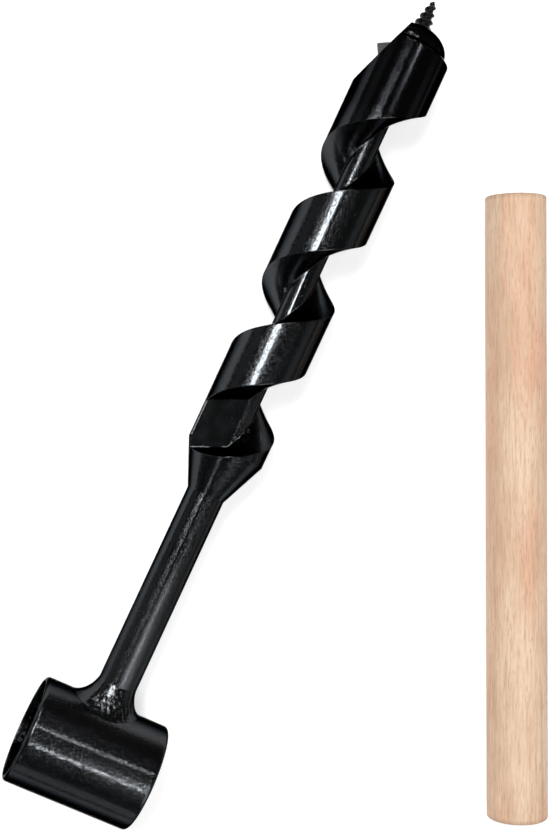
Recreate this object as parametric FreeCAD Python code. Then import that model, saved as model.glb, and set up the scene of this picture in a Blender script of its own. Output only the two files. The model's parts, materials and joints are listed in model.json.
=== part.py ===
import FreeCAD, Part
import math
import os

from FreeCAD import Placement, Rotation, Vector

# Hand auger with an eye for a cross handle, and its loose wooden handle, in millimetres.
#
# The auger lies on its side. The origin is the middle of the eye's bore. X runs along the bore,
# Y along the auger towards its screw point, and Z is up. The eye rests on the surface under it,
# and the thinner twist dips until its head rests there too. The handle lies beside it.
#
# The auger's pieces are drawn upright first: the bit's axis is Z with the point up, the bore is X,
# and the side that ends uppermost when the auger is laid down faces -Y. Angles are about Z from +X.

# Eye tube
EYE_OUTER_RADIUS = 16.5
EYE_BORE_RADIUS = 15.0
EYE_LENGTH = 40.4
EYE_OUTER_ROUND = 1.2
EYE_BORE_ROUND = 0.25

# Shank and neck: distances are along the bit from the middle of the eye
SHANK_RADIUS = 6.05
SHANK_TOP = 86.0
NECK_TOP = 100.5
TWIST_NECK_RADIUS = 12.4

# Twist: one flute round a round core
TWIST_TOP = 216.0
HEAD_RADIUS = 12.9
CORE_RADIUS = 3.7
PITCH = 45.1
FLUTE_FLOOR_WIDTH = 16.0
FLUTE_WALL_SLOPE = 0.47
FLUTE_REACH = 17.0
FULL_SWEEPS = 3
RUN_OUT_ANGLE = -98.9
RUN_OUT_HEIGHT = 110.0
RUN_OUT_SLOPE = 0.46
RUN_OUT_LENGTH = 24.0
THROAT_START_TURN = 2.27
THROAT_END_ANGLE = 171.0
THROAT_FLOOR_WIDTH = 6.0

# Head: a domed end with a throat that opens beside the cutting lip
SHOULDER = 239.4
DOME_START = 241.2
DOME_RADIUS = 10.8
DOME_RISE = 7.2
DOME_TOP_RADIUS = 3.9
LIP_ANGLE = 124.0
THROAT_LOW = (-12.9, 223.9)
THROAT_HIGH = (-4.2, 247.2)
THROAT_LEAN = -0.33
SPUR_SIDE = 6.0
SPUR_THICKNESS = 1.8
SPUR_LEAN = 30.0
SPUR_CORNER = (-10.9, 240.1)
SPUR_DEPTH = 7.2

# Lead screw
SCREW_SEAT = 246.6
SCREW_COLLAR_TOP = 248.3
SCREW_POINT = 258.2
SCREW_COLLAR_RADIUS = 3.9
SCREW_COLLAR_CHAMFER = 0.6
SCREW_CORE_BASE_RADIUS = 2.6
SCREW_CORE_TIP_RADIUS = 0.5
SCREW_TIP_BLUNT = 0.4
THREAD_PITCH = 2.5
THREAD_DEPTH = 0.85
THREAD_ROOT_WIDTH = 1.7
THREAD_SINK = 0.25
THREAD_END_GAP = 1.0
CREST_BASE_RADIUS = 3.7
CREST_TIP_RADIUS = 1.1

# Weld between the shank and the eye
WELD_TOP = 22.8
WELD_WAIST = (7.2, 19.4)
WELD_TOE = (9.9, 17.0)
WELD_SKIRT = (11.9, 11.0)

# Handle
HANDLE_RADIUS = 9.9
HANDLE_LENGTH = 202.0
HANDLE_END_ROUND = 0.8
HANDLE_CENTRE = (95.4, 124.5)
HANDLE_TURN = 25.7

# How the auger lies
REST_CONTACT = 236.0
BIG = 80.0


def auger_placement():
    """Lay the upright auger down, dipped so that eye and head touch the same surface."""
    dip = math.degrees(math.asin((EYE_OUTER_RADIUS - HEAD_RADIUS) / REST_CONTACT))
    return Placement(Vector(0, 0, 0), Rotation(Vector(1, 0, 0), -90.0 - dip))


def polar(radius, angle, height=0.0):
    """A point at a radius and an angle in degrees about Z."""
    turn = math.radians(angle)
    return Vector(radius * math.cos(turn), radius * math.sin(turn), height)


def revolved(edges):
    """A solid of revolution about Z from edges in the XZ plane."""
    face = Part.Face(Part.Wire(edges))
    return face.revolve(Vector(0, 0, 0), Vector(0, 0, 1), 360)


def outline(points):
    """Straight edges through (radius, height) points, closed."""
    corners = [Vector(radius, 0, height) for radius, height in points]
    pairs = zip(corners, corners[1:] + corners[:1])
    return [Part.makeLine(start, end) for start, end in pairs]


def flute_section(angle, middle, low, high):
    """Closed flute section in the radial plane at an angle, from low to high about its middle."""
    reach = FLUTE_REACH - CORE_RADIUS
    spread = FLUTE_WALL_SLOPE * reach
    flat = [
        polar(CORE_RADIUS, angle, middle + low),
        polar(CORE_RADIUS, angle, middle + high),
        polar(FLUTE_REACH, angle, middle + high + spread),
        polar(FLUTE_REACH, angle, middle + low - spread),
    ]
    return Part.makePolygon(flat + flat[:1])


def flute_helix(start_angle, start_height, turns):
    """Helical path on the core, rising from a start angle and height."""
    path = Part.makeHelix(PITCH, PITCH * turns, CORE_RADIUS)
    path.Placement = Placement(Vector(0, 0, start_height), Rotation(Vector(0, 0, 1), start_angle))
    return Part.Wire(path.Edges)


def swept(path, sections):
    """Solid swept along a path round Z, with its sections kept in radial planes."""
    sweep = Part.BRepOffsetAPI.MakePipeShell(path)
    sweep.setBiNormalMode(Vector(0, 0, 1))
    for section in sections:
        sweep.add(section)
    sweep.build()
    sweep.makeSolid()
    return sweep.shape()


def flute_middle(turns):
    """Angle and height of the flute's middle after some turns from its run-out."""
    return RUN_OUT_ANGLE + 360.0 * turns, RUN_OUT_HEIGHT + PITCH * turns


def flute_tools():
    """Cutters for the flute: its run-out at the neck, its full turns, and its throat end."""
    half = FLUTE_FLOOR_WIDTH / 2.0
    first = flute_section(RUN_OUT_ANGLE, RUN_OUT_HEIGHT, -half, half)
    left = polar(1.0, RUN_OUT_ANGLE - 90.0)
    run_out = Part.Face(first).extrude((left + Vector(0, 0, -RUN_OUT_SLOPE)) * RUN_OUT_LENGTH)

    full = []
    step = THROAT_START_TURN / FULL_SWEEPS
    for count in range(FULL_SWEEPS):
        angle, height = flute_middle(count * step)
        section = flute_section(angle, height, -half, half)
        full.append(swept(flute_helix(angle, height, step), [section]))

    angle, height = flute_middle(THROAT_START_TURN)
    turns = (THROAT_END_ANGLE + 720.0 - angle) / 360.0
    wide = flute_section(angle, height, -half, half)
    end_low = height + PITCH * turns - half
    narrow = flute_section(THROAT_END_ANGLE, end_low, 0.0, THROAT_FLOOR_WIDTH)
    throat = swept(flute_helix(angle, height, turns), [wide, narrow])
    return [run_out] + full + [throat]


def half_space(point, normal):
    """A large block on the side of a plane that its normal points to."""
    block = Part.makeBox(2 * BIG, 2 * BIG, BIG, Vector(-BIG, -BIG, 0))
    block.Placement = Placement(point, Rotation(Vector(0, 0, 1), normal))
    return block


def across_view(across, height, depth=0.0):
    """A point from its distance across the run-out's flat, its height and its depth behind it."""
    side = polar(across, RUN_OUT_ANGLE + 90.0)
    back = polar(depth, RUN_OUT_ANGLE + 180.0)
    return side + back + Vector(0, 0, height)


def throat_opening():
    """Wedge in front of the cutting lip, behind a facet that leans in towards the point."""
    low = across_view(*THROAT_LOW)
    high = across_view(*THROAT_HIGH)
    outward = polar(1.0, RUN_OUT_ANGLE, THROAT_LEAN).cross(high - low)
    facet_side = half_space(low, outward)
    lip_side = half_space(Vector(0, 0, DOME_START), polar(1.0, LIP_ANGLE + 90.0))
    return facet_side.common(lip_side)


def cut_by(solid, tools):
    """Solid with every tool removed from it."""
    for tool in tools:
        solid = solid.cut(tool)
    return solid


def eye_tube():
    tube = Part.makeCylinder(EYE_OUTER_RADIUS, EYE_LENGTH)
    tube = tube.cut(Part.makeCylinder(EYE_BORE_RADIUS, EYE_LENGTH))
    rings = [edge for edge in tube.Edges if isinstance(edge.Curve, Part.Circle)]
    outer = [edge for edge in rings if abs(edge.Curve.Radius - EYE_OUTER_RADIUS) < 0.01]
    tube = tube.makeFillet(EYE_OUTER_ROUND, outer)
    rings = [edge for edge in tube.Edges if isinstance(edge.Curve, Part.Circle)]
    inner = [edge for edge in rings if abs(edge.Curve.Radius - EYE_BORE_RADIUS) < 0.01]
    tube = tube.makeFillet(EYE_BORE_ROUND, inner)
    tube.Placement = Placement(Vector(-EYE_LENGTH / 2, 0, 0), Rotation(Vector(0, 1, 0), 90))
    return tube


def eye_envelope():
    """Solid cylinder of the eye's outer size, longer than the eye."""
    return Part.makeCylinder(EYE_OUTER_RADIUS, 2 * BIG, Vector(-BIG, 0, 0), Vector(1, 0, 0))


def shank():
    """Round shank, coped to the eye at its lower end."""
    return Part.makeCylinder(SHANK_RADIUS, SHANK_TOP).cut(eye_envelope())


def weld_bead():
    """Flared weld round the foot of the shank, lying on the eye."""
    top = Vector(SHANK_RADIUS, 0, WELD_TOP)
    waist = Vector(WELD_WAIST[0], 0, WELD_WAIST[1])
    toe = Vector(WELD_TOE[0], 0, WELD_TOE[1])
    skirt = Vector(WELD_SKIRT[0], 0, WELD_SKIRT[1])
    inner = Vector(SHANK_RADIUS, 0, WELD_SKIRT[1])
    corners = [toe, skirt, inner, top]
    edges = [Part.Arc(top, waist, toe).toShape()]
    edges += [Part.makeLine(a, b) for a, b in zip(corners, corners[1:])]
    return revolved(edges).cut(eye_envelope())


def neck_cone(tools):
    """Cone from the shank up to the twist, nicked by the end of the flute."""
    height = NECK_TOP - SHANK_TOP
    cone = Part.makeCone(SHANK_RADIUS, TWIST_NECK_RADIUS, height, Vector(0, 0, SHANK_TOP))
    return cut_by(cone, tools[:2])


def twist(tools):
    """Fluted part of the bit between the neck and the head."""
    barrel = Part.makeCone(
        TWIST_NECK_RADIUS, HEAD_RADIUS, TWIST_TOP - NECK_TOP, Vector(0, 0, NECK_TOP)
    )
    return cut_by(barrel, tools)


def cutter_head(tools):
    """Domed head with the end of the flute, the throat and the lip cut into it."""
    side = Vector(DOME_RADIUS, 0, DOME_START)
    peak = Vector(0, 0, DOME_START + DOME_RISE)
    dome = Part.Ellipse(side, peak, Vector(0, 0, DOME_START))
    end_turn = math.acos(DOME_TOP_RADIUS / DOME_RADIUS)
    curve = Part.ArcOfEllipse(dome, 0, end_turn).toShape()
    crown = curve.valueAt(curve.LastParameter)
    corners = [
        crown,
        Vector(0, 0, crown.z),
        Vector(0, 0, TWIST_TOP),
        Vector(HEAD_RADIUS, 0, TWIST_TOP),
        Vector(HEAD_RADIUS, 0, SHOULDER),
        side,
    ]
    edges = [curve] + [Part.makeLine(a, b) for a, b in zip(corners, corners[1:])]
    head = cut_by(revolved(edges), tools + [throat_opening()])
    seat = Part.makeCylinder(SCREW_COLLAR_RADIUS, BIG, Vector(0, 0, SCREW_SEAT))
    return head.cut(seat)


def scoring_spur():
    """Square tab at the outer end of the lip, with one corner standing towards the point."""
    tab = Part.makeBox(SPUR_SIDE, SPUR_THICKNESS, SPUR_SIDE, Vector(0, 0, -SPUR_SIDE))
    tab.Placement = Placement(Vector(0, 0, 0), Rotation(Vector(0, 1, 0), -SPUR_LEAN))
    face_view = Rotation(Vector(0, 0, 1), RUN_OUT_ANGLE + 90.0)
    corner = across_view(SPUR_CORNER[0], SPUR_CORNER[1], SPUR_DEPTH - SPUR_THICKNESS)
    tab.Placement = Placement(corner, face_view).multiply(tab.Placement)
    return tab


def screw_thread():
    """Thread of the screw point, cut down to a taper that ends near the point."""
    height = SCREW_POINT - SCREW_COLLAR_TOP
    taper = math.degrees(math.atan((SCREW_CORE_BASE_RADIUS - SCREW_CORE_TIP_RADIUS) / height))
    path = Part.makeHelix(THREAD_PITCH, height - THREAD_END_GAP, SCREW_CORE_BASE_RADIUS, -taper)
    path.translate(Vector(0, 0, SCREW_COLLAR_TOP))
    root = SCREW_CORE_BASE_RADIUS - THREAD_SINK
    crest = SCREW_CORE_BASE_RADIUS + THREAD_DEPTH
    section = Part.makePolygon([
        Vector(root, 0, SCREW_COLLAR_TOP - THREAD_ROOT_WIDTH / 2),
        Vector(root, 0, SCREW_COLLAR_TOP + THREAD_ROOT_WIDTH / 2),
        Vector(crest, 0, SCREW_COLLAR_TOP),
        Vector(root, 0, SCREW_COLLAR_TOP - THREAD_ROOT_WIDTH / 2),
    ])
    thread = swept(Part.Wire(path.Edges), [section])
    taper_limit = Part.makeCone(
        CREST_BASE_RADIUS, CREST_TIP_RADIUS, SCREW_POINT - SCREW_SEAT, Vector(0, 0, SCREW_SEAT)
    )
    return thread.common(taper_limit)


def lead_screw():
    """Tapered screw point with a collar at its base."""
    core = revolved(outline([
        (0, SCREW_SEAT),
        (SCREW_COLLAR_RADIUS, SCREW_SEAT),
        (SCREW_COLLAR_RADIUS, SCREW_COLLAR_TOP - SCREW_COLLAR_CHAMFER),
        (SCREW_CORE_BASE_RADIUS, SCREW_COLLAR_TOP),
        (SCREW_CORE_TIP_RADIUS, SCREW_POINT - SCREW_TIP_BLUNT),
        (0, SCREW_POINT),
    ]))
    return core.fuse(screw_thread())


def handle():
    """Plain round stick with eased ends, lying on the surface beside the auger."""
    stick = Part.makeCylinder(HANDLE_RADIUS, HANDLE_LENGTH, Vector(0, 0, -HANDLE_LENGTH / 2))
    rims = [edge for edge in stick.Edges if isinstance(edge.Curve, Part.Circle)]
    stick = stick.makeFillet(HANDLE_END_ROUND, rims)
    lay_down = Rotation(Vector(1, 0, 0), -90)
    turn = Rotation(Vector(0, 0, 1), HANDLE_TURN)
    height = HANDLE_RADIUS - EYE_OUTER_RADIUS
    centre = Vector(HANDLE_CENTRE[0], HANDLE_CENTRE[1], height)
    stick.Placement = Placement(centre, turn.multiply(lay_down))
    return stick


def auger_pieces():
    """Every piece of the auger, still upright."""
    tools = flute_tools()
    foot = shank()
    head = cutter_head(tools)
    return {
        "eye_tube": eye_tube(),
        "eye_weld_bead": weld_bead().cut(foot),
        "shank": foot,
        "neck_cone": neck_cone(tools),
        "twist": twist(tools),
        "cutter_head": head,
        "scoring_spur": scoring_spur().cut(head),
        "lead_screw": lead_screw(),
    }


def main():
    os.makedirs("parts", exist_ok=True)
    laid_down = auger_placement()
    pieces = {}
    for name, shape in auger_pieces().items():
        shape.Placement = laid_down.multiply(shape.Placement)
        pieces[name] = shape
    pieces["handle"] = handle()
    for name, shape in pieces.items():
        shape.exportStep(f"parts/{name}.step")
        print(name, shape.isValid(), len(shape.Solids), round(shape.Volume, 1))


main()
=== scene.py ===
import json
import math

import bpy
from mathutils import Matrix, Vector, noise


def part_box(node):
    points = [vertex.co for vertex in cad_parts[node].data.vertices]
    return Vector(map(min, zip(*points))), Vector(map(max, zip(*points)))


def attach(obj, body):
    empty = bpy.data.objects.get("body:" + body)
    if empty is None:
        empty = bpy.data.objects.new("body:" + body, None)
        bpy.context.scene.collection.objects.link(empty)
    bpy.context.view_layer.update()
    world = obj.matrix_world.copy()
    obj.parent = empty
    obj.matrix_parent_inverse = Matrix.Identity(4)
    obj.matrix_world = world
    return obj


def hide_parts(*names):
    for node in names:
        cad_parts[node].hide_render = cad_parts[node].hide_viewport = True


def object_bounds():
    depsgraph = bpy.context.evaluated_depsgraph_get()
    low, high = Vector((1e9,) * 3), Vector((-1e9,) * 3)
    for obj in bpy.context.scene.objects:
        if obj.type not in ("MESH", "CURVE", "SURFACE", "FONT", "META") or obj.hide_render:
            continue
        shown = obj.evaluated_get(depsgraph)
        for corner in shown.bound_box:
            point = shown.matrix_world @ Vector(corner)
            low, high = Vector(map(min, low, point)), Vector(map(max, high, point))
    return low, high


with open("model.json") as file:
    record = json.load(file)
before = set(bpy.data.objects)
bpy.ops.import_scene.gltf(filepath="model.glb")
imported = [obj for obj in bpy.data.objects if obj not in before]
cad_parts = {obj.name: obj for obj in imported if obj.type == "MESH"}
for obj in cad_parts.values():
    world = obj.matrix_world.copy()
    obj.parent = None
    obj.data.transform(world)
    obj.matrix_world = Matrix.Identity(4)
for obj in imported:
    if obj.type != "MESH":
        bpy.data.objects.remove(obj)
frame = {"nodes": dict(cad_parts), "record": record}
CAD_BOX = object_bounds()

# Metres, unless a name or comment says otherwise. The auger lies on its side: X along its eye,
# Y towards its point, Z up. Its pieces are worked out upright in millimetres, with the bit's
# axis as Z, and then laid down by UPRIGHT.
MM = 0.001
DIP = math.radians(0.874)
UPRIGHT = Matrix.Rotation(-math.pi / 2 - DIP, 4, "X")

# Camera: above the auger, leaning towards the eye's open end
CAMERA_PLACE = Vector((-0.06627, 0.08941, 0.42329))
CAMERA_SIDE_TILT = math.radians(-10.105)
CAMERA_LEAN = math.radians(3.662)
CAMERA_ROLL = math.radians(24.943)
CAMERA_LENS = 60.17
CAMERA_SENSOR = 36.0

# Studio
FLOOR_HALF = 3.0
FLOOR_DROP = 0.0001
FLOOR_COLOUR = (0.60, 0.60, 0.60, 1.0)
FLOOR_ROUGHNESS = 0.95
FLOOR_SPECULAR = 0.1
FLOOR_GLOW = 1.0
WORLD_COLOUR = (1.0, 1.0, 1.0, 1.0)
WORLD_STRENGTH = 0.08
# Each light: name, place, target, size towards X and across it, power in watts
LIGHTS = (
    ("land_strip", (-0.455, 0.345, 1.11), (0.0, 0.15, 0.0), (0.26, 0.40), 11.0),
    ("shank_strip", (0.36, -0.08, 1.14), (0.0, 0.04, 0.0), (0.16, 0.13), 1.4),
    ("cone_strip", (-0.26, -0.88, 0.83), (0.0, 0.09, 0.0), (0.09, 0.18), 0.35),
    ("weld_strip", (-0.20, 0.79, 0.89), (0.0, 0.0, 0.0), (0.12, 0.12), 1.4),
    ("eye_strip_far", (1.17, 3.24, 7.30), (0.0, 0.0, 0.0), (0.80, 0.30), 20.0),
    ("eye_strip_near", (0.18, -0.27, 1.14), (0.0, 0.0, 0.0), (0.20, 0.055), 1.2),
    ("flat_strip", (-0.62, 1.05, 0.80), (0.0, 0.10, 0.0), (0.18, 0.18), 3.2),
    ("left_box", (-1.25, 0.15, 0.55), (0.0, 0.12, 0.0), (0.5, 1.2), 0.4),
    ("right_box", (1.35, 0.15, 0.55), (0.0, 0.12, 0.0), (0.5, 1.2), 0.6),
    ("end_box", (0.0, -1.3, 0.35), (0.0, 0.0, 0.0), (1.0, 0.4), 0.9),
    ("sky_box", (1.9, -1.2, 2.4), (0.0, 0.1, 0.0), (1.6, 1.6), 34.0),
)

# Edges: the one-piece bit's named lengths meet at the seams, which are not eased. An edge is
# where the eased normal and the plain one agree less than this, from no edge to full edge.
SEAMS = (0.0860, 0.1005, 0.2160)
SEAM_REACH = 0.0012
EDGE_RADIUS = 0.0005
EDGE_SAMPLES = 6
EDGE_AGREEMENT = (0.99, 0.86)

# The milled flat faces this way around the upright bit, and the film lies even on it
FLAT_ANGLE = math.radians(-98.9)
FLAT_AGREEMENT = (0.99985, 0.9993)

# Black oxide film: its reflection seen straight on, and its tint near grazing
FILM_DARK = (0.041, 0.044, 0.047, 1.0)
FILM_LIGHT = (0.049, 0.052, 0.055, 1.0)
FILM_EDGE_TINT = (0.05, 0.05, 0.05, 1.0)
FILM_ROUGHNESS = (0.06, 0.11)
RUBBED_STEEL = (0.26, 0.25, 0.23, 1.0)
EDGE_WEAR = 0.35
PEEL_DEPTH = 0.00004
PEEL_STRENGTH = 0.9
SPECK_DEPTH = 0.00003
SPECK_STRENGTH = 0.8
PIT_DEPTH = 0.00004
PIT_STRENGTH = 0.5
PIT_DULLNESS = 0.12

# The film grows calmer between these distances along the auger, towards its head
CALM_START = 0.203
CALM_END = 0.216
CALM_COLOUR = (0.020, 0.021, 0.023, 1.0)
CALM_RELIEF = 0.45

# The drawn shank grows duller between these distances along the auger, towards its eye
DRAWN_END = 0.068
DRAWN_START = 0.048
DRAWN_DULLNESS = 0.13
DRAWN_STRETCH = 0.9

# Scoring spur
SPUR_DARK = (0.010, 0.011, 0.012, 1.0)
SPUR_LIGHT = (0.032, 0.032, 0.031, 1.0)
SPUR_EDGE = (0.09, 0.088, 0.084, 1.0)
SPUR_SPECULAR = 0.3
SPUR_LINE_DEPTH = 0.00004

# Screw point's finish
SCREW_DARK = (0.002, 0.002, 0.002, 1.0)
SCREW_LIGHT = (0.004, 0.004, 0.004, 1.0)
SCREW_CREST = (0.020, 0.018, 0.016, 1.0)
SCREW_SPECULAR = 0.12
SCREW_FILM_DEPTH = 0.00006

# Wood
WOOD_TAN = (0.600, 0.410, 0.275, 1.0)
WOOD_PINK = (0.665, 0.385, 0.265, 1.0)
WOOD_PALE = (0.710, 0.520, 0.375, 1.0)
WOOD_BROWN = (0.430, 0.270, 0.165, 1.0)
# Darker colour mixed in towards the handle's ends
WOOD_END_DARK = (0.30, 0.195, 0.125, 1.0)
WOOD_SPECULAR = 0.35
PORE_DARKNESS = 0.65
PORE_DEPTH = 0.00009
GRAIN_DEPTH = 0.00006
# Distances short of each end where the darker colour starts and where it is full
END_DARK_REACH = (0.0018, 0.0002)

# Weld bead, in millimetres
WELD_AROUND = 220
WELD_ACROSS = 46
WELD_TOP = 23.6
WELD_TOE = 10.6
WELD_TOE_LEFT = 1.6
WELD_TOE_WAVER = 0.35
WELD_TOE_WAVES = 3
WELD_TOE_SEED = 7
WELD_INSET = 0.03
WELD_FLARE_POWER = 1.5
WELD_RISE_POWER = 1.9
WELD_SINK = 0.3
WELD_BORDER = 0.09
WELD_FULL_POWER = 1.5
WELD_RAISE = 0.08
WELD_RIPPLES = 15
WELD_RIPPLE_BOW = 9
WELD_RIPPLE_HEIGHT = 0.05
WELD_LUMP_HEIGHT = 0.42
WELD_LUMP_SIZE = 1.15
WELD_LUMP_FALL = 0.9
WELD_LUMP_STEP = 2.1
WELD_LUMP_OCTAVES = 3
WELD_PLAIN_SHARE = 0.15
WELD_LUMPY_TURN = 0.15
WELD_PROBE = 0.02

# Screw point, in millimetres along the bit's axis
SCREW_SEAT = 246.6
COLLAR_TOP = 248.3
COLLAR_RADIUS = 3.75
COLLAR_FADE_END = 0.5
COLLAR_FADE = 0.9
SCREW_POINT = 258.2
SCREW_AROUND = 96
SCREW_RINGS = 300
SCREW_WOBBLE = 0.02
SCREW_WOBBLE_SCALE = 1.7
THREAD_PITCH = 2.45
THREAD_PHASE = 251.4
THREAD_DEPTH = 0.88
THREAD_SHALLOWING = 0.35
THREAD_SHARPNESS = 1.25
THREAD_RUN_OUT = 1.4
CREST_BASE = 3.35
CREST_TIP = 1.05
CORE_LEAST = 0.05
POINT_ROUND = 0.9

# Handle, in millimetres
HANDLE_RINGS = 260
HANDLE_AROUND = 144
HANDLE_ROUND = 0.8
HANDLE_ROUND_STEPS = 8
HANDLE_WAVER = 0.06
HANDLE_WAVER_SCALE = 1.1
HANDLE_WAVER_ALONG = 18
HANDLE_END_SHARES = (0.02, 0.2, 0.4, 0.6, 0.78)
SAWN_SHARE = 0.9
SAWN_DEPTH = 0.05
SAWN_FINE = 2500
SAWN_COARSE = 400
SAWN_SEED = 3


def add_camera():
    """Camera at the viewing angle."""
    data = bpy.data.cameras.new("camera")
    data.lens = CAMERA_LENS
    data.sensor_width = CAMERA_SENSOR
    camera = bpy.data.objects.new("camera", data)
    turn = (
        Matrix.Rotation(CAMERA_SIDE_TILT, 4, "Y")
        @ Matrix.Rotation(CAMERA_LEAN, 4, "X")
        @ Matrix.Rotation(CAMERA_ROLL, 4, "Z")
    )
    camera.matrix_world = Matrix.Translation(CAMERA_PLACE) @ turn
    bpy.context.scene.collection.objects.link(camera)
    bpy.context.scene.camera = camera


def add_floor():
    """Plain pale floor under the object, glowing slightly so that shadows stay faint."""
    z = CAD_BOX[0][2] - FLOOR_DROP
    corners = [(-FLOOR_HALF, -FLOOR_HALF, z), (FLOOR_HALF, -FLOOR_HALF, z)]
    corners += [(FLOOR_HALF, FLOOR_HALF, z), (-FLOOR_HALF, FLOOR_HALF, z)]
    mesh = bpy.data.meshes.new("floor")
    mesh.from_pydata(corners, [], [(0, 1, 2, 3)])
    material = bpy.data.materials.new("floor")
    material.use_nodes = True
    shader = material.node_tree.nodes["Principled BSDF"]
    shader.inputs["Base Color"].default_value = FLOOR_COLOUR
    shader.inputs["Roughness"].default_value = FLOOR_ROUGHNESS
    shader.inputs["Specular IOR Level"].default_value = FLOOR_SPECULAR
    shader.inputs["Emission Color"].default_value = FLOOR_COLOUR
    shader.inputs["Emission Strength"].default_value = FLOOR_GLOW
    mesh.materials.append(material)
    floor = bpy.data.objects.new("floor", mesh)
    bpy.context.scene.collection.objects.link(floor)


def add_area(name, place, target, size, power):
    """One rectangular light that faces its target, its first size towards X."""
    data = bpy.data.lights.new(name, "AREA")
    data.shape = "RECTANGLE"
    data.size, data.size_y = size
    data.energy = power
    light = bpy.data.objects.new(name, data)
    back = (Vector(place) - Vector(target)).normalized()
    across = (Vector((1, 0, 0)) - back * back.x).normalized()
    facing = Matrix((across, back.cross(across), back)).transposed().to_4x4()
    light.matrix_world = Matrix.Translation(place) @ facing
    bpy.context.scene.collection.objects.link(light)


def add_studio():
    """Dim even surroundings, narrow lights overhead and soft boxes low at the sides."""
    world = bpy.data.worlds.new("world")
    world.use_nodes = True
    background = world.node_tree.nodes["Background"]
    background.inputs["Color"].default_value = WORLD_COLOUR
    background.inputs["Strength"].default_value = WORLD_STRENGTH
    bpy.context.scene.world = world
    for light in LIGHTS:
        add_area(*light)
    bpy.context.scene.view_settings.view_transform = "Standard"


class Nodes:
    """Short calls for building a material's nodes."""

    # A mix node's two inputs and its output, for each kind of value
    MIX_SOCKETS = {"VECTOR": (4, 5, 1), "RGBA": (6, 7, 2)}

    def __init__(self, name):
        self.material = bpy.data.materials.new(name)
        self.material.use_nodes = True
        self.tree = self.material.node_tree
        self.shader = self.tree.nodes["Principled BSDF"]
        self.place = self.add("ShaderNodeTexCoord").outputs["Object"]

    def add(self, kind, **settings):
        """A new node with these settings."""
        node = self.tree.nodes.new(kind)
        for key, value in settings.items():
            setattr(node, key, value)
        return node

    def feed(self, socket, value):
        """Link an output to a socket, or set the socket's own value."""
        if isinstance(value, bpy.types.NodeSocket):
            self.tree.links.new(value, socket)
        else:
            socket.default_value = value

    def shade(self, name, value):
        """Feed one input of the shader."""
        self.feed(self.shader.inputs[name], value)

    def coordinate(self, place, axis):
        """One coordinate of a place."""
        node = self.add("ShaderNodeSeparateXYZ")
        self.feed(node.inputs["Vector"], place)
        return node.outputs[axis]

    def stretched(self, place, scale):
        """Coordinates multiplied by a scale along each axis."""
        node = self.add("ShaderNodeVectorMath", operation="MULTIPLY")
        self.feed(node.inputs[0], place)
        self.feed(node.inputs[1], scale)
        return node.outputs["Vector"]

    def agreement(self, first, second):
        """Dot product of two vectors."""
        node = self.add("ShaderNodeVectorMath", operation="DOT_PRODUCT")
        self.feed(node.inputs[0], first)
        self.feed(node.inputs[1], second)
        return node.outputs["Value"]

    def noise(self, place, scale, detail, roughness, distortion=0.0):
        """Smooth noise, mostly between 0.3 and 0.7."""
        node = self.add("ShaderNodeTexNoise")
        self.feed(node.inputs["Vector"], place)
        self.feed(node.inputs["Scale"], scale)
        self.feed(node.inputs["Detail"], detail)
        self.feed(node.inputs["Roughness"], roughness)
        self.feed(node.inputs["Distortion"], distortion)
        return node.outputs["Fac"]

    def cells(self, place, scale):
        """Distance from the nearest of many scattered points."""
        node = self.add("ShaderNodeTexVoronoi")
        self.feed(node.inputs["Vector"], place)
        self.feed(node.inputs["Scale"], scale)
        return node.outputs["Distance"]

    def spread(self, value, low, high, start=0.0, end=1.0):
        """Map low..high to start..end, clamped."""
        node = self.add("ShaderNodeMapRange")
        self.feed(node.inputs["Value"], value)
        self.feed(node.inputs["From Min"], low)
        self.feed(node.inputs["From Max"], high)
        self.feed(node.inputs["To Min"], start)
        self.feed(node.inputs["To Max"], end)
        return node.outputs["Result"]

    def calculate(self, operation, first, second=0.0):
        """One step of arithmetic."""
        node = self.add("ShaderNodeMath", operation=operation)
        self.feed(node.inputs[0], first)
        self.feed(node.inputs[1], second)
        return node.outputs["Value"]

    def product(self, first, *others):
        """Values multiplied together."""
        for other in others:
            first = self.calculate("MULTIPLY", first, other)
        return first

    def mix(self, share, first, second, kind="RGBA"):
        """Blend two colours, or two vectors, by a share."""
        first_input, second_input, output = self.MIX_SOCKETS[kind]
        node = self.add("ShaderNodeMix", data_type=kind)
        self.feed(node.inputs[0], share)
        self.feed(node.inputs[first_input], first)
        self.feed(node.inputs[second_input], second)
        return node.outputs[output]

    def bump(self, height, strength, depth, normal=None):
        """A normal tilted by a height."""
        node = self.add("ShaderNodeBump")
        self.feed(node.inputs["Height"], height)
        self.feed(node.inputs["Strength"], strength)
        self.feed(node.inputs["Distance"], depth)
        if normal is not None:
            self.feed(node.inputs["Normal"], normal)
        return node.outputs["Normal"]


def off_the_seams(nodes):
    """1 away from the seams between named lengths of the one-piece bit, 0 on them."""
    along = nodes.agreement(nodes.place, UPRIGHT.to_3x3() @ Vector((0, 0, 1)))
    share = 1.0
    for seam in SEAMS:
        offset = nodes.calculate("ABSOLUTE", nodes.calculate("SUBTRACT", along, seam))
        share = nodes.product(nodes.spread(offset, SEAM_REACH / 2, SEAM_REACH), share)
    return share


def off_the_flat(nodes):
    """0 on the milled flat that faces FLAT_ANGLE and 1 elsewhere, so that the flat stays even."""
    facing = UPRIGHT.to_3x3() @ Vector((math.cos(FLAT_ANGLE), math.sin(FLAT_ANGLE), 0))
    true_normal = nodes.add("ShaderNodeNewGeometry").outputs["True Normal"]
    return nodes.spread(nodes.agreement(true_normal, facing), *FLAT_AGREEMENT)


def eased_edges(nodes):
    """A normal that rounds the edges off, and a mask of where the edges are."""
    plain = nodes.add("ShaderNodeNewGeometry").outputs["Normal"]
    bevel = nodes.add("ShaderNodeBevel", samples=EDGE_SAMPLES)
    bevel.inputs["Radius"].default_value = EDGE_RADIUS
    normal = nodes.mix(off_the_seams(nodes), plain, bevel.outputs["Normal"], kind="VECTOR")
    edge = nodes.spread(nodes.agreement(normal, plain), *EDGE_AGREEMENT)
    return normal, edge


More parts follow.
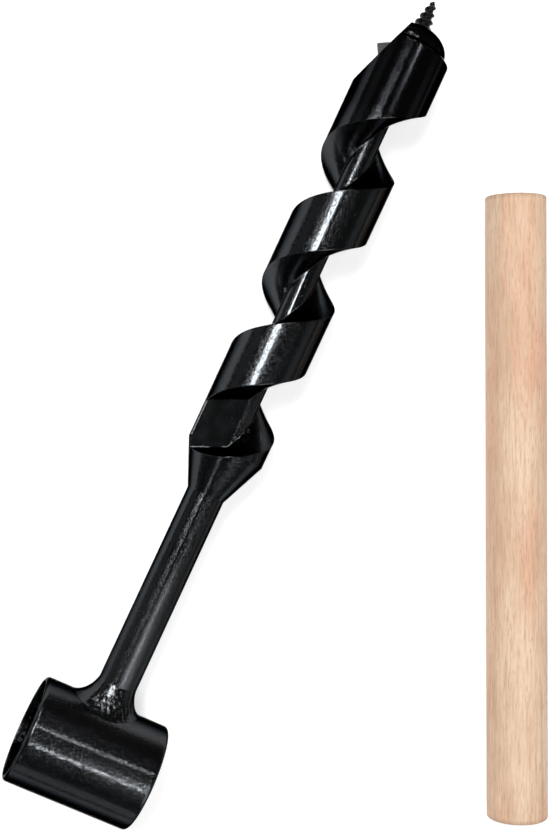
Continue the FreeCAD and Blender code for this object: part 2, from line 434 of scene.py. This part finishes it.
def film_colour(nodes, edge, worn):
    """Cloudy dark film, darker on the head and rubbed thin along its edges."""
    clouds = nodes.noise(nodes.place, scale=45.0, detail=4.0, roughness=0.55)
    colour = nodes.mix(nodes.spread(clouds, 0.35, 0.7), FILM_DARK, FILM_LIGHT)
    headward = nodes.spread(nodes.coordinate(nodes.place, "Y"), CALM_START, CALM_END)
    colour = nodes.mix(headward, colour, CALM_COLOUR)
    rubbing = nodes.noise(nodes.place, scale=420.0, detail=4.0, roughness=0.7)
    wear = nodes.product(edge, nodes.spread(rubbing, 0.45, 0.7), EDGE_WEAR * worn)
    return nodes.mix(wear, colour, RUBBED_STEEL)


def film_pits(nodes):
    """1 in small pits that lie in patches, 0 elsewhere."""
    pits = nodes.spread(nodes.cells(nodes.place, scale=900.0), 0.06, 0.22, 1.0, 0.0)
    patches = nodes.noise(nodes.place, scale=140.0, detail=3.0, roughness=0.6)
    return nodes.product(pits, nodes.spread(patches, 0.42, 0.62))


def film_dullness(nodes, pits, drawn):
    """Roughness of the film, more in its pits and towards the eye where it is drawn."""
    clouds = nodes.noise(nodes.place, scale=210.0, detail=4.0, roughness=0.6)
    dull = nodes.spread(clouds, 0.3, 0.75, *FILM_ROUGHNESS)
    dull = nodes.calculate("ADD", dull, nodes.product(pits, PIT_DULLNESS))
    if drawn:
        eyeward = nodes.spread(nodes.coordinate(nodes.place, "Y"), DRAWN_END, DRAWN_START)
        dull = nodes.calculate("ADD", dull, nodes.product(eyeward, DRAWN_DULLNESS))
    return dull


def film_relief(nodes, normal, pits, peel):
    """Orange peel, specks and pits, weaker on the head and none on the flat."""
    uneven = off_the_flat(nodes)
    along = nodes.coordinate(nodes.place, "Y")
    lively = nodes.product(uneven, nodes.spread(along, CALM_START, CALM_END, 1.0, CALM_RELIEF))
    orange_peel = nodes.noise(nodes.place, scale=1600.0, detail=2.0, roughness=0.45)
    grit = nodes.noise(nodes.place, scale=2700.0, detail=2.0, roughness=0.6)
    specks = nodes.spread(grit, 0.52, 0.75)
    peeled = nodes.bump(nodes.product(orange_peel, lively), PEEL_STRENGTH * peel, PEEL_DEPTH, normal)
    speckled = nodes.bump(nodes.product(specks, lively), SPECK_STRENGTH, SPECK_DEPTH, peeled)
    return nodes.bump(nodes.product(pits, -1.0, uneven), PIT_STRENGTH, PIT_DEPTH, speckled)


def black_steel(name, peel=1.0, worn=1.0, drawn=False):
    """Gloss black oxide on steel: orange peel, fine specks, small pits, and thin wear on the edges."""
    nodes = Nodes(name)
    normal, edge = eased_edges(nodes)
    pits = film_pits(nodes)
    nodes.shade("Base Color", film_colour(nodes, edge, worn))
    nodes.shade("Roughness", film_dullness(nodes, pits, drawn))
    nodes.shade("Normal", film_relief(nodes, normal, pits, peel))
    nodes.shade("Metallic", 1.0)
    nodes.shade("Specular Tint", FILM_EDGE_TINT)
    if drawn:
        around = nodes.add("ShaderNodeTangent", direction_type="RADIAL", axis="Y")
        nodes.shade("Tangent", around.outputs["Tangent"])
        nodes.shade("Anisotropic", DRAWN_STRETCH)
    return nodes.material


def bare_steel():
    """Ground steel under a thin dark film, for the scoring spur."""
    nodes = Nodes("bare_steel")
    normal, edge = eased_edges(nodes)
    film = nodes.noise(nodes.place, scale=900.0, detail=5.0, roughness=0.6)
    ground = nodes.stretched(nodes.place, (1.0, 0.08, 1.0))
    lines = nodes.noise(ground, scale=4200.0, detail=2.0, roughness=0.5)
    colour = nodes.mix(nodes.spread(film, 0.35, 0.7), SPUR_DARK, SPUR_LIGHT)
    nodes.shade("Base Color", nodes.mix(edge, colour, SPUR_EDGE))
    nodes.shade("Roughness", nodes.spread(lines, 0.3, 0.7, 0.32, 0.5))
    nodes.shade("Specular IOR Level", SPUR_SPECULAR)
    nodes.shade("Normal", nodes.bump(lines, 0.4, SPUR_LINE_DEPTH, normal))
    return nodes.material


def screw_steel():
    """Blackened thread, lighter brownish grey on its crests."""
    nodes = Nodes("screw_steel")
    film = nodes.noise(nodes.place, scale=1100.0, detail=5.0, roughness=0.65)
    pointiness = nodes.add("ShaderNodeNewGeometry").outputs["Pointiness"]
    # Lighter brownish grey where the surface is pointy, on the thread's crests
    crest = nodes.product(nodes.spread(pointiness, 0.505, 0.56), nodes.spread(film, 0.3, 0.6))
    colour = nodes.mix(nodes.spread(film, 0.35, 0.7), SCREW_DARK, SCREW_LIGHT)
    nodes.shade("Base Color", nodes.mix(crest, colour, SCREW_CREST))
    nodes.shade("Roughness", nodes.spread(film, 0.3, 0.7, 0.22, 0.42))
    nodes.shade("Specular IOR Level", SCREW_SPECULAR)
    nodes.shade("Normal", nodes.bump(film, 0.45, SCREW_FILM_DEPTH))
    return nodes.material


def handle_mount():
    """The handle's middle, direction, radius and half length, from the record's mount."""
    mounts = {mount["name"]: mount for mount in frame["record"]["mounts"]}
    mount = mounts["handle_outside"]
    return {
        "centre": Vector(mount["pos_m"]),
        "axis": Vector(mount["axis"]),
        "radius": mount["dims"]["r_mm"] * MM,
        "half": mount["dims"]["length_mm"] * MM / 2 + HANDLE_ROUND * MM,
    }


def handle_lay(handle):
    """Matrix from the handle's own frame, Z along it, to where it lies."""
    turned = handle["axis"].to_track_quat("Z", "Y").to_matrix().to_4x4()
    return Matrix.Translation(handle["centre"]) @ turned


def along_the_handle(nodes, lay):
    """Coordinates in the handle's own frame."""
    turned = nodes.add("ShaderNodeMapping", vector_type="TEXTURE")
    nodes.feed(turned.inputs["Vector"], nodes.place)
    nodes.feed(turned.inputs["Location"], lay.to_translation())
    nodes.feed(turned.inputs["Rotation"], lay.to_euler())
    return turned.outputs["Vector"]


def long_noise(nodes, place, squeeze, **shape):
    """Noise drawn out along the handle, more for a smaller squeeze."""
    return nodes.noise(nodes.stretched(place, (1.0, 1.0, squeeze)), **shape)


def handle_wood(handle):
    """Bare pale hardwood: pinkish bands, fine lengthwise grain, short dark pores, darker ends."""
    nodes = Nodes("handle_wood")
    place = along_the_handle(nodes, handle_lay(handle))
    bands = long_noise(nodes, place, 0.10, scale=190.0, detail=4.0, roughness=0.6, distortion=0.5)
    blotches = long_noise(nodes, place, 0.35, scale=75.0, detail=4.0, roughness=0.6)
    fibre = long_noise(nodes, place, 0.07, scale=1500.0, detail=4.0, roughness=0.65)
    dots = long_noise(nodes, place, 0.14, scale=2100.0, detail=1.0, roughness=0.4)
    streaks = long_noise(nodes, place, 0.045, scale=420.0, detail=3.0, roughness=0.55)
    pores = nodes.product(nodes.spread(dots, 0.57, 0.67), nodes.spread(bands, 0.3, 0.55, 0.25, 0.8))

    colour = nodes.mix(nodes.spread(bands, 0.36, 0.64), WOOD_TAN, WOOD_PINK)
    colour = nodes.mix(nodes.spread(blotches, 0.40, 0.62), colour, WOOD_PALE)
    colour = nodes.mix(nodes.spread(fibre, 0.45, 0.67, 0.0, 0.50), colour, WOOD_BROWN)
    colour = nodes.mix(nodes.product(pores, PORE_DARKNESS), colour, WOOD_BROWN)
    colour = nodes.mix(nodes.spread(streaks, 0.54, 0.72, 0.0, 0.5), colour, WOOD_BROWN)
    # Darker brown towards both ends, over the end faces and their eased corners
    from_middle = nodes.calculate("ABSOLUTE", nodes.coordinate(place, "Z"))
    near_end = nodes.spread(from_middle, *(handle["half"] - reach for reach in END_DARK_REACH))
    end_darkening = nodes.product(near_end, nodes.spread(fibre, 0.35, 0.6, 0.25, 0.75))
    nodes.shade("Base Color", nodes.mix(end_darkening, colour, WOOD_END_DARK))

    nodes.shade("Roughness", nodes.spread(fibre, 0.3, 0.7, 0.5, 0.72))
    nodes.shade("Specular IOR Level", WOOD_SPECULAR)
    grain = nodes.bump(fibre, 0.30, GRAIN_DEPTH)
    nodes.shade("Normal", nodes.bump(nodes.product(pores, -1.0), 0.6, PORE_DEPTH, grain))
    return nodes.material


def mesh_object(name, points, faces, material, body, replaced):
    """A smooth piece on a body that stands for a CAD node."""
    mesh = bpy.data.meshes.new(name)
    mesh.from_pydata(points, [], faces)
    mesh.shade_smooth()
    mesh.materials.append(material)
    piece = bpy.data.objects.new(name, mesh)
    bpy.context.scene.collection.objects.link(piece)
    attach(piece, body)
    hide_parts(replaced)


def turns(count):
    """Angles evenly spaced around a circle."""
    return [2 * math.pi * step / count for step in range(count)]


def ring_faces(rings, around, closed=False):
    """Quads between rings of points, and from the last ring to the first if it is closed."""
    last = rings if closed else rings - 1
    faces = []
    for ring in range(last):
        below = ring * around
        above = ((ring + 1) % rings) * around
        for step in range(around):
            after = (step + 1) % around
            faces.append((below + step, below + after, above + after, above + step))
    return faces


def capped_faces(rings, around):
    """Quads between rings of points, and a face over the first ring and the last."""
    last = (rings - 1) * around
    faces = ring_faces(rings, around)
    faces.append(tuple(reversed(range(around))))
    faces.append(tuple(range(last, last + around)))
    return faces


def eye_height(y, eye_radius):
    """Height of the eye's surface above its axis, at a distance to the side."""
    return math.sqrt(max(eye_radius * eye_radius - y * y, 0.0))


def weld_point(turn, share, shank_radius, eye_radius):
    """A point of the bead, from the shank (share 0) out to its toe on the eye (share 1)."""
    leftward = max(0.0, -math.cos(turn)) ** 2
    around = (WELD_TOE_WAVES * math.cos(turn), WELD_TOE_WAVES * math.sin(turn), WELD_TOE_SEED)
    waver = noise.noise(Vector(around))
    toe = WELD_TOE + WELD_TOE_LEFT * leftward + WELD_TOE_WAVER * waver
    radius = shank_radius + (toe - shank_radius) * share ** WELD_FLARE_POWER
    x = radius * math.cos(turn)
    y = radius * math.sin(turn)
    rise = WELD_TOP - eye_height(shank_radius * math.sin(turn), eye_radius)
    height = eye_height(y, eye_radius) + rise * (1.0 - share) ** WELD_RISE_POWER
    inward = WELD_SINK * max(0.0, 1.0 - share / WELD_BORDER) ** 2
    down = WELD_SINK * max(0.0, 1.0 - (1.0 - share) / WELD_BORDER) ** 2
    return Vector((x - inward * math.cos(turn), y - inward * math.sin(turn), height - down))


def weld_outward(turn, share, shank_radius, eye_radius):
    """The bead's own normal at a point, away from the steel."""
    here = weld_point(turn, share, shank_radius, eye_radius)
    beside = weld_point(turn, min(1.0, share + WELD_PROBE), shank_radius, eye_radius)
    before = weld_point(turn, max(0.0, share - WELD_PROBE), shank_radius, eye_radius)
    around = weld_point(turn + WELD_PROBE, share, shank_radius, eye_radius) - here
    outward = (beside - before).cross(around).normalized()
    return -outward if outward.z < 0 else outward


def weld_lift(turn, share, spot):
    """Height of the ripples and lumps, which are strong on one side and die away at both borders."""
    ripple = math.sin(WELD_RIPPLES * turn + WELD_RIPPLE_BOW * (share - 0.5) ** 2)
    lumps = noise.fractal(spot / WELD_LUMP_SIZE, WELD_LUMP_FALL, WELD_LUMP_STEP, WELD_LUMP_OCTAVES)
    lumpy_side = max(0.0, -math.sin(turn - WELD_LUMPY_TURN)) ** 4
    lumpy = WELD_PLAIN_SHARE + (1 - WELD_PLAIN_SHARE) * lumpy_side
    lift = WELD_RIPPLE_HEIGHT * ripple + WELD_LUMP_HEIGHT * lumpy * lumps
    return math.sin(math.pi * share) ** WELD_FULL_POWER * (lift + WELD_RAISE)


def add_weld_bead(material):
    """Lumpy bead of weld metal flared from the shank's foot onto the eye."""
    low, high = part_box("eye_tube")
    eye_radius = (high.z - low.z) / 2 / MM
    low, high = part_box("shank")
    shank_radius = (high.x - low.x) / 2 / MM - WELD_INSET
    points = []
    for ring in range(WELD_ACROSS):
        share = ring / (WELD_ACROSS - 1)
        for turn in turns(WELD_AROUND):
            spot = weld_point(turn, share, shank_radius, eye_radius)
            outward = weld_outward(turn, share, shank_radius, eye_radius)
            spot = spot + outward * weld_lift(turn, share, spot)
            points.append(UPRIGHT @ (spot * MM))
    root_radius = shank_radius - 2 * WELD_SINK
    for turn in turns(WELD_AROUND):
        toe = weld_point(turn, 1.0, shank_radius, eye_radius)
        root = Vector((root_radius * math.cos(turn), root_radius * math.sin(turn), toe.z - WELD_SINK))
        points.append(UPRIGHT @ (root * MM))
    faces = ring_faces(WELD_ACROSS + 1, WELD_AROUND, closed=True)
    mesh_object("weld_bead", points, faces, material, "auger", "eye_weld_bead")


def screw_radius(turn, height):
    """Radius of the screw point, in millimetres: collar, core and rounded right-hand thread."""
    reach = max(0.0, (height - COLLAR_TOP) / (SCREW_POINT - COLLAR_TOP))
    crest = CREST_BASE + (CREST_TIP - CREST_BASE) * reach
    core = max(CORE_LEAST, crest - THREAD_DEPTH * (1.0 - THREAD_SHALLOWING * reach))
    phase = (height - THREAD_PHASE) / THREAD_PITCH - turn / (2 * math.pi)
    ridge = (0.5 + 0.5 * math.cos(2 * math.pi * phase)) ** THREAD_SHARPNESS
    to_point = max(0.0, SCREW_POINT - height)
    radius = core + (crest - core) * ridge * min(1.0, to_point / THREAD_RUN_OUT)
    radius *= min(1.0, math.sqrt(to_point / POINT_ROUND))
    collar = min(1.0, max(0.0, (COLLAR_TOP + COLLAR_FADE_END - height) / COLLAR_FADE))
    return radius + (COLLAR_RADIUS - radius) * collar


def add_lead_screw(material):
    """Tapered screw point with rounded crests that run out near its tip."""
    points = []
    for ring in range(SCREW_RINGS):
        height = SCREW_SEAT + (SCREW_POINT - SCREW_SEAT) * ring / (SCREW_RINGS - 1)
        for turn in turns(SCREW_AROUND):
            waver = noise.noise(Vector((math.cos(turn), math.sin(turn), height)) * SCREW_WOBBLE_SCALE)
            radius = screw_radius(turn, height) * (1.0 + SCREW_WOBBLE * waver)
            spot = Vector((radius * math.cos(turn), radius * math.sin(turn), height))
            points.append(UPRIGHT @ (spot * MM))
    faces = capped_faces(SCREW_RINGS, SCREW_AROUND)
    mesh_object("screw_point", points, faces, material, "auger", "lead_screw")


def handle_profile(half, radius):
    """Distance along and radius of each ring, from one end's middle to the other's."""
    corner = HANDLE_ROUND * MM
    end = [(-half, radius * share) for share in HANDLE_END_SHARES]
    for step in reversed(range(HANDLE_ROUND_STEPS + 1)):
        turn = math.pi / 2 * step / HANDLE_ROUND_STEPS
        end.append((-half + corner * (1 - math.sin(turn)), radius - corner * (1 - math.cos(turn))))
    length = 2 * (half - corner)
    straight = []
    for step in range(1, HANDLE_RINGS):
        straight.append((-half + corner + length * step / HANDLE_RINGS, radius))
    return end + straight + [(-along, size) for along, size in reversed(end)]


def sawn_depth(turn, size):
    """Depth of the saw marks on an end face."""
    spot = Vector((size * math.cos(turn) * SAWN_FINE, size * math.sin(turn) * SAWN_COARSE, SAWN_SEED))
    return abs(SAWN_DEPTH * MM * noise.noise(spot))


def add_handle(handle, material):
    """Turned stick with eased ends, very slightly out of round like sanded wood."""
    lay = handle_lay(handle)
    rings = handle_profile(handle["half"], handle["radius"])
    points = []
    for along, size in rings:
        for turn in turns(HANDLE_AROUND):
            spot = Vector((math.cos(turn), math.sin(turn), along * HANDLE_WAVER_ALONG))
            waver = HANDLE_WAVER * MM * (noise.noise(spot * HANDLE_WAVER_SCALE) - 1.0) / 2
            radius = size + waver * size / handle["radius"]
            sawn = sawn_depth(turn, size) if size < handle["radius"] * SAWN_SHARE else 0.0
            inset = along - math.copysign(sawn, along)
            points.append(lay @ Vector((radius * math.cos(turn), radius * math.sin(turn), inset)))
    faces = capped_faces(len(rings), HANDLE_AROUND)
    mesh_object("wood_handle", points, faces, material, "handle", "handle")


def set_material(node, material):
    """Give a CAD node one material."""
    slots = frame["nodes"][node].data.materials
    slots.clear()
    slots.append(material)


def finish_auger():
    """Materials and detailed pieces of the auger."""
    black = black_steel("black_steel")
    for node in ("eye_tube", "neck_cone", "twist", "cutter_head"):
        set_material(node, black)
    set_material("shank", black_steel("shank_steel", peel=0.4, drawn=True))
    set_material("scoring_spur", bare_steel())
    add_weld_bead(black_steel("weld_steel", peel=1.2, worn=0.4))
    add_lead_screw(screw_steel())


def finish_handle():
    """Material and detailed piece of the handle."""
    handle = handle_mount()
    add_handle(handle, handle_wood(handle))


add_camera()
add_floor()
add_studio()
finish_auger()
finish_handle()
